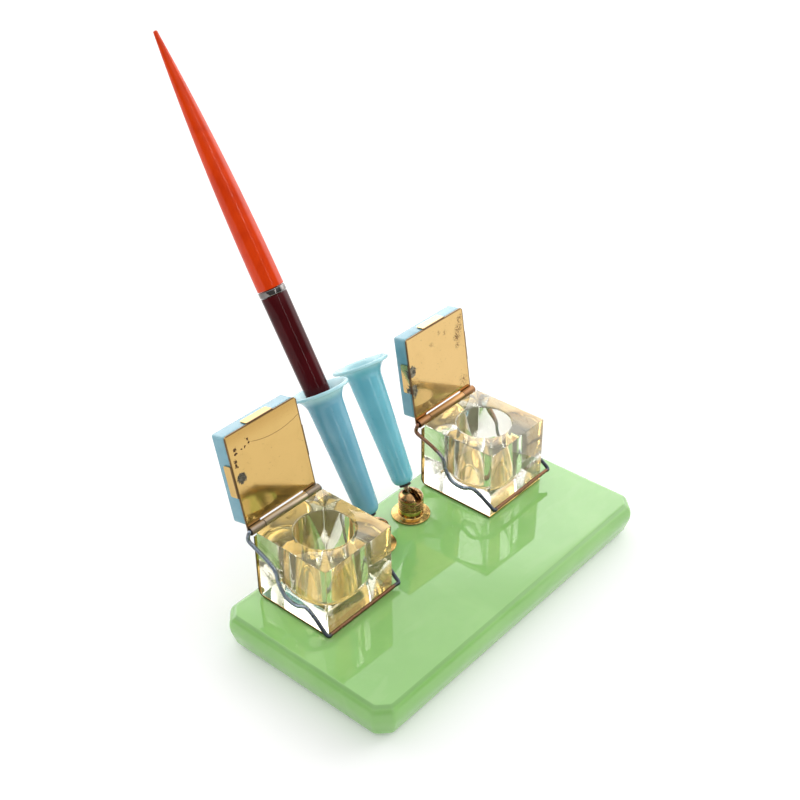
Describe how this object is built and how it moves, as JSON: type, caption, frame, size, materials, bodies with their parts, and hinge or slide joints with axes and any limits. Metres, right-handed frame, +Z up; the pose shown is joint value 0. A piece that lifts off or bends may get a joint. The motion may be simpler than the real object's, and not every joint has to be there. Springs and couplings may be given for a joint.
{
  "type": "desk inkwell set",
  "caption": "Glass desk set: slab base, cube inkwells with hinged glass-topped lids and wire bails, trumpet pen holders on tilting swivels, tapered dip pen.",
  "frame": {"origin": "centre of the underside, where the baize meets the desk", "axes": "+Z up; +X along the slab's length towards the empty pen holder; +Y to the back, the side where the lids are hinged"},
  "size_m": [0.174, 0.1789, 0.2192],
  "materials": {
    "green_glass": "opaque jade-green pressed glass, polished",
    "felt": "thin green baize",
    "clear_glass": "clear cut glass, polished",
    "blue_glass": "opaline pale-blue glass, polished",
    "lid_brass": "polished, lightly stained sheet",
    "turned_brass": "turned, lightly tarnished",
    "dark_brass": "turned, reddish-brown tarnish",
    "spring_wire": "hard-drawn wire, blue-grey tarnish",
    "steel": "plain turned steel",
    "fibre": "black vulcanised fibre",
    "orange": "polished orange lacquer",
    "maroon": "polished maroon hard rubber",
    "plated": "worn nickel plate"
  },
  "bodies": {
    "base": {"base_slab": "green_glass", "base_felt": "felt", "bracket_left": "lid_brass", "well_glass_left": "clear_glass", "swivel_collar_left": "turned_brass", "bracket_right": "lid_brass", "well_glass_right": "clear_glass", "swivel_collar_right": "turned_brass"},
    "lid_left": {"lid_plate_left": "lid_brass", "lid_glass_left": "blue_glass"},
    "bail_left": {"bail_wire_left": "spring_wire"},
    "swivel_left": {"swivel_cap_left": "dark_brass", "swivel_post_left": "turned_brass", "swivel_spring_left": "steel", "swivel_nut_left": "steel"},
    "trumpet_left": {"ball_stem_left": "steel", "seat_washer_left": "fibre", "seat_nut_left": "steel", "trumpet_left": "blue_glass"},
    "lid_right": {"lid_plate_right": "lid_brass", "lid_glass_right": "blue_glass"},
    "bail_right": {"bail_wire_right": "spring_wire"},
    "swivel_right": {"swivel_cap_right": "dark_brass", "swivel_post_right": "turned_brass", "swivel_spring_right": "steel", "swivel_nut_right": "steel"},
    "trumpet_right": {"ball_stem_right": "steel", "seat_washer_right": "fibre", "seat_nut_right": "steel", "trumpet_right": "blue_glass"},
    "pen": {"pen_tail": "orange", "pen_band": "plated", "pen_barrel": "maroon", "nib_ferrule": "plated", "pen_nib": "steel"}
  },
  "joints": [
    {"name": "lid_hinge_left", "type": "hinge", "parent": "base", "child": "lid_left", "pos_m": [-0.0506, 0.04055, 0.04935], "axis": [1, 0, 0], "range_deg": [0, 103]},
    {"name": "bail_hinge_left", "type": "hinge", "parent": "base", "child": "bail_left", "pos_m": [-0.0506, 0.04055, 0.04935], "axis": [-1, 0, 0], "range_deg": [0, 80]},
    {"name": "swivel_turn_left", "type": "hinge", "parent": "base", "child": "swivel_left", "pos_m": [-0.014, 0.0241, 0.0166], "axis": [0, 0, 1], "range_deg": [-2, 7]},
    {"name": "trumpet_tilt_left", "type": "hinge", "parent": "swivel_left", "child": "trumpet_left", "pos_m": [-0.014, 0.0241, 0.0242], "axis": [-0.9993, 0.0366, 0], "range_deg": [-8.4, 41.6]},
    {"name": "lid_hinge_right", "type": "hinge", "parent": "base", "child": "lid_right", "pos_m": [0.0506, 0.03855, 0.04935], "axis": [1, 0, 0], "range_deg": [0, 98.5]},
    {"name": "bail_hinge_right", "type": "hinge", "parent": "base", "child": "bail_right", "pos_m": [0.0506, 0.03855, 0.04935], "axis": [-1, 0, 0], "range_deg": [0, 80]},
    {"name": "swivel_turn_right", "type": "hinge", "parent": "base", "child": "swivel_right", "pos_m": [0.0118, 0.0266, 0.0166], "axis": [0, 0, 1], "range_deg": [-4, 1.5]},
    {"name": "trumpet_tilt_right", "type": "hinge", "parent": "swivel_right", "child": "trumpet_right", "pos_m": [0.0118, 0.0266, 0.0242], "axis": [-0.9903, 0.1392, 0], "range_deg": [-11, 39]},
    {"name": "pen_slide", "type": "slide", "parent": "trumpet_left", "child": "pen", "axis": [-0.0186, 0.4916, 0.8706], "range_m": [0, 0.06]}
  ]
}
